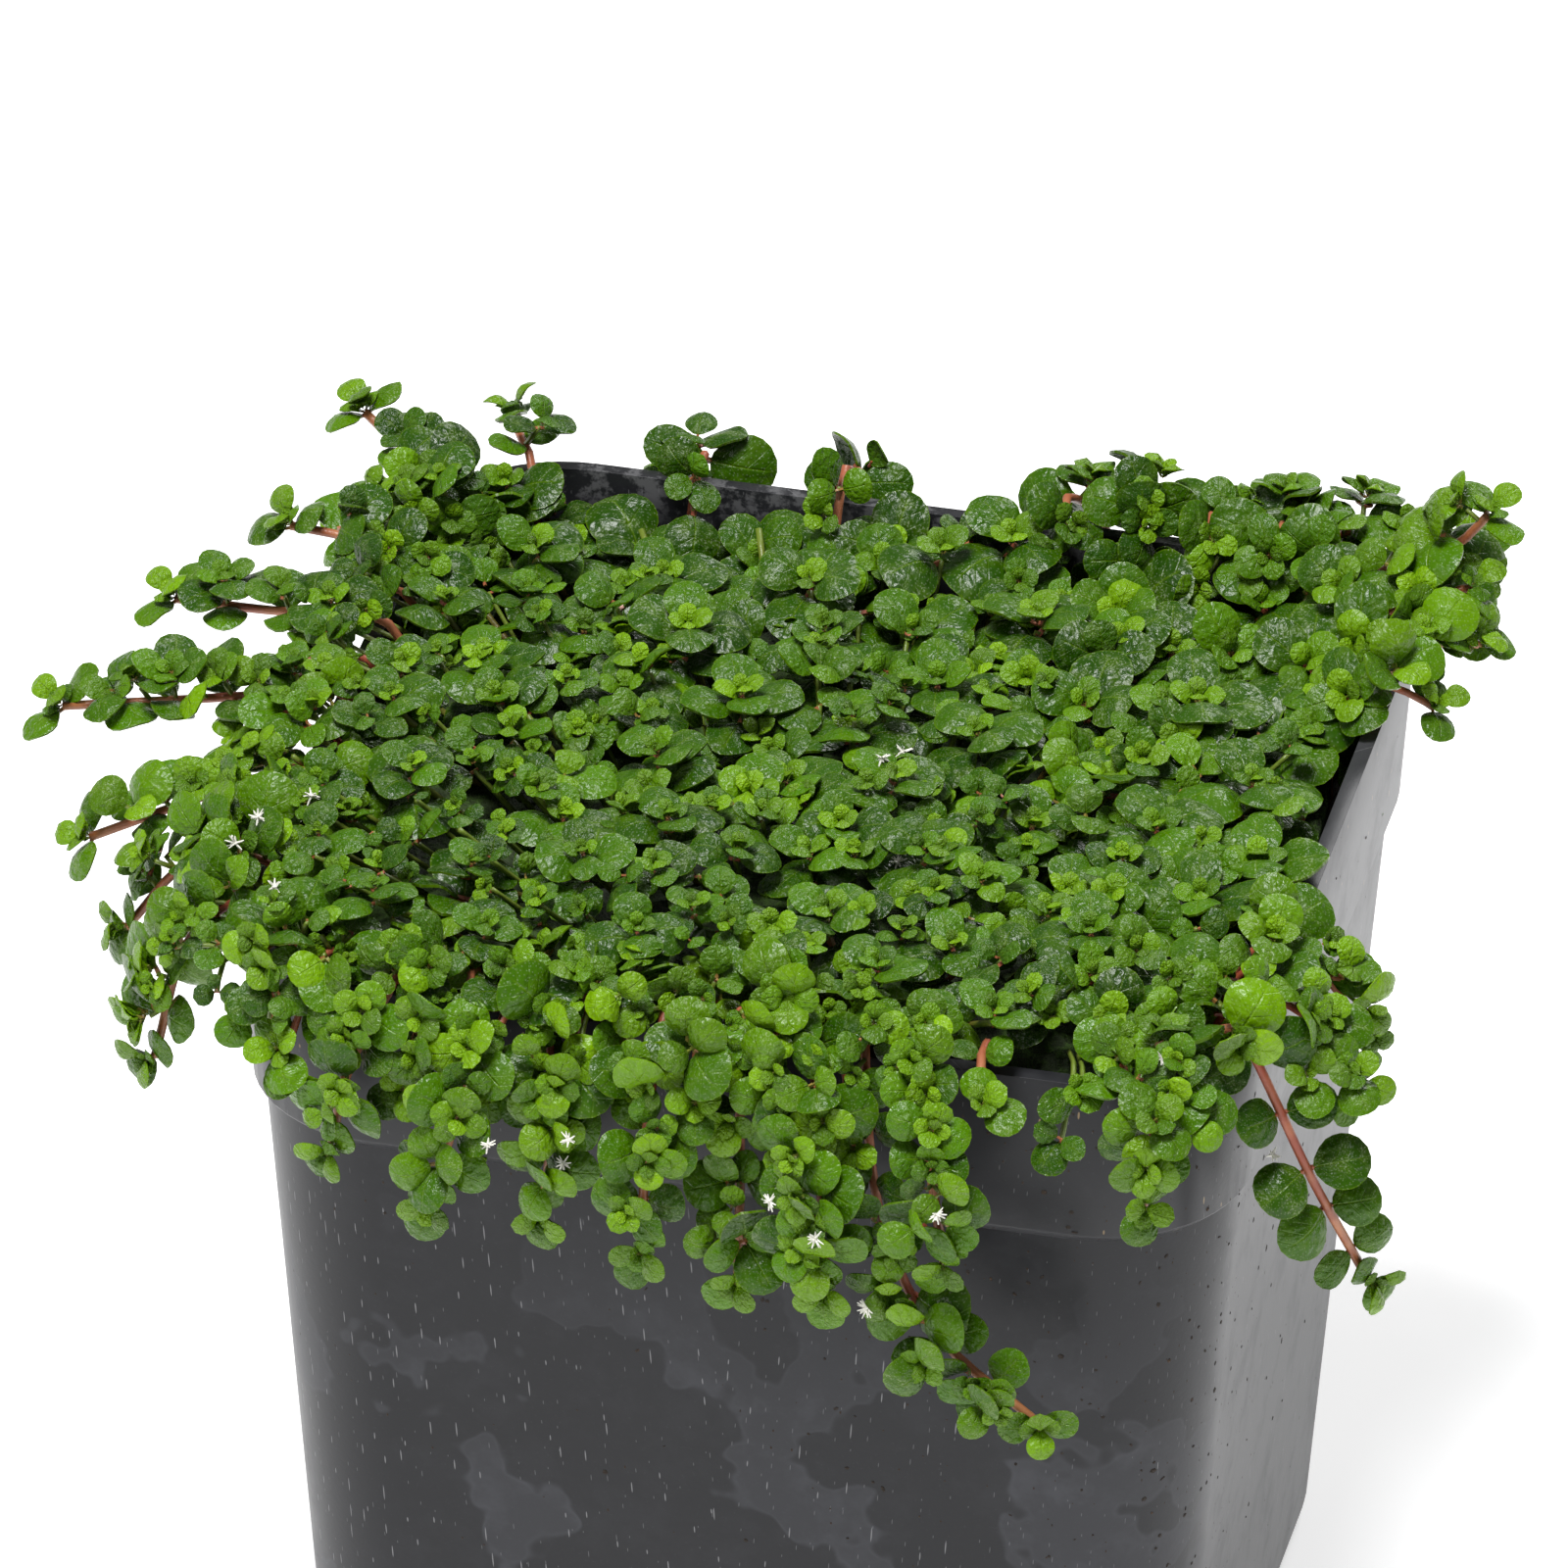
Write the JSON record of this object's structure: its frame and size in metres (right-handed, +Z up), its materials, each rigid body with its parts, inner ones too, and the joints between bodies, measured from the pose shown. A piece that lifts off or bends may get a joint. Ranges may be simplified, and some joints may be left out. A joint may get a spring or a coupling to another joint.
{
  "type": "potted baby tears",
  "caption": "Low mat of small round leaves in a square tapered nursery pot, with leafy stems trailing over its rim.",
  "frame": {"origin": "centre of the pot's underside, on the face that it rests on", "axes": "+Z up, -Y towards the side where most of the stems trail, +X to that side's right"},
  "size_m": [0.1288, 0.111, 0.1022],
  "materials": {
    "pot_plastic": "satin charcoal plastic, scuffed and marked with lime",
    "potting_mix": "dark, crumbly, moist potting mix",
    "foliage": "glossy, puckered green leaves on reddish stems"
  },
  "bodies": {
    "root": {"back_stem_1": "foliage", "back_stem_2": "foliage", "back_stem_3": "foliage", "back_stem_4": "foliage", "back_stem_5": "foliage", "front_stem_1": "foliage", "front_stem_10": "foliage", "front_stem_2": "foliage", "front_stem_3": "foliage", "front_stem_4": "foliage", "front_stem_5": "foliage", "front_stem_6": "foliage", "front_stem_7": "foliage", "front_stem_8": "foliage", "front_stem_9": "foliage", "leaf_mat": "foliage", "left_stem_1": "foliage", "left_stem_2": "foliage", "left_stem_3": "foliage", "left_stem_4": "foliage", "left_stem_5": "foliage", "left_stem_6": "foliage", "left_stem_7": "foliage", "left_stem_8": "foliage", "nursery_pot": "pot_plastic", "potting_mix": "potting_mix", "right_stem_1": "foliage", "right_stem_2": "foliage", "right_stem_3": "foliage", "right_stem_4": "foliage", "right_stem_5": "foliage", "right_stem_6": "foliage"}
  },
  "joints": []
}
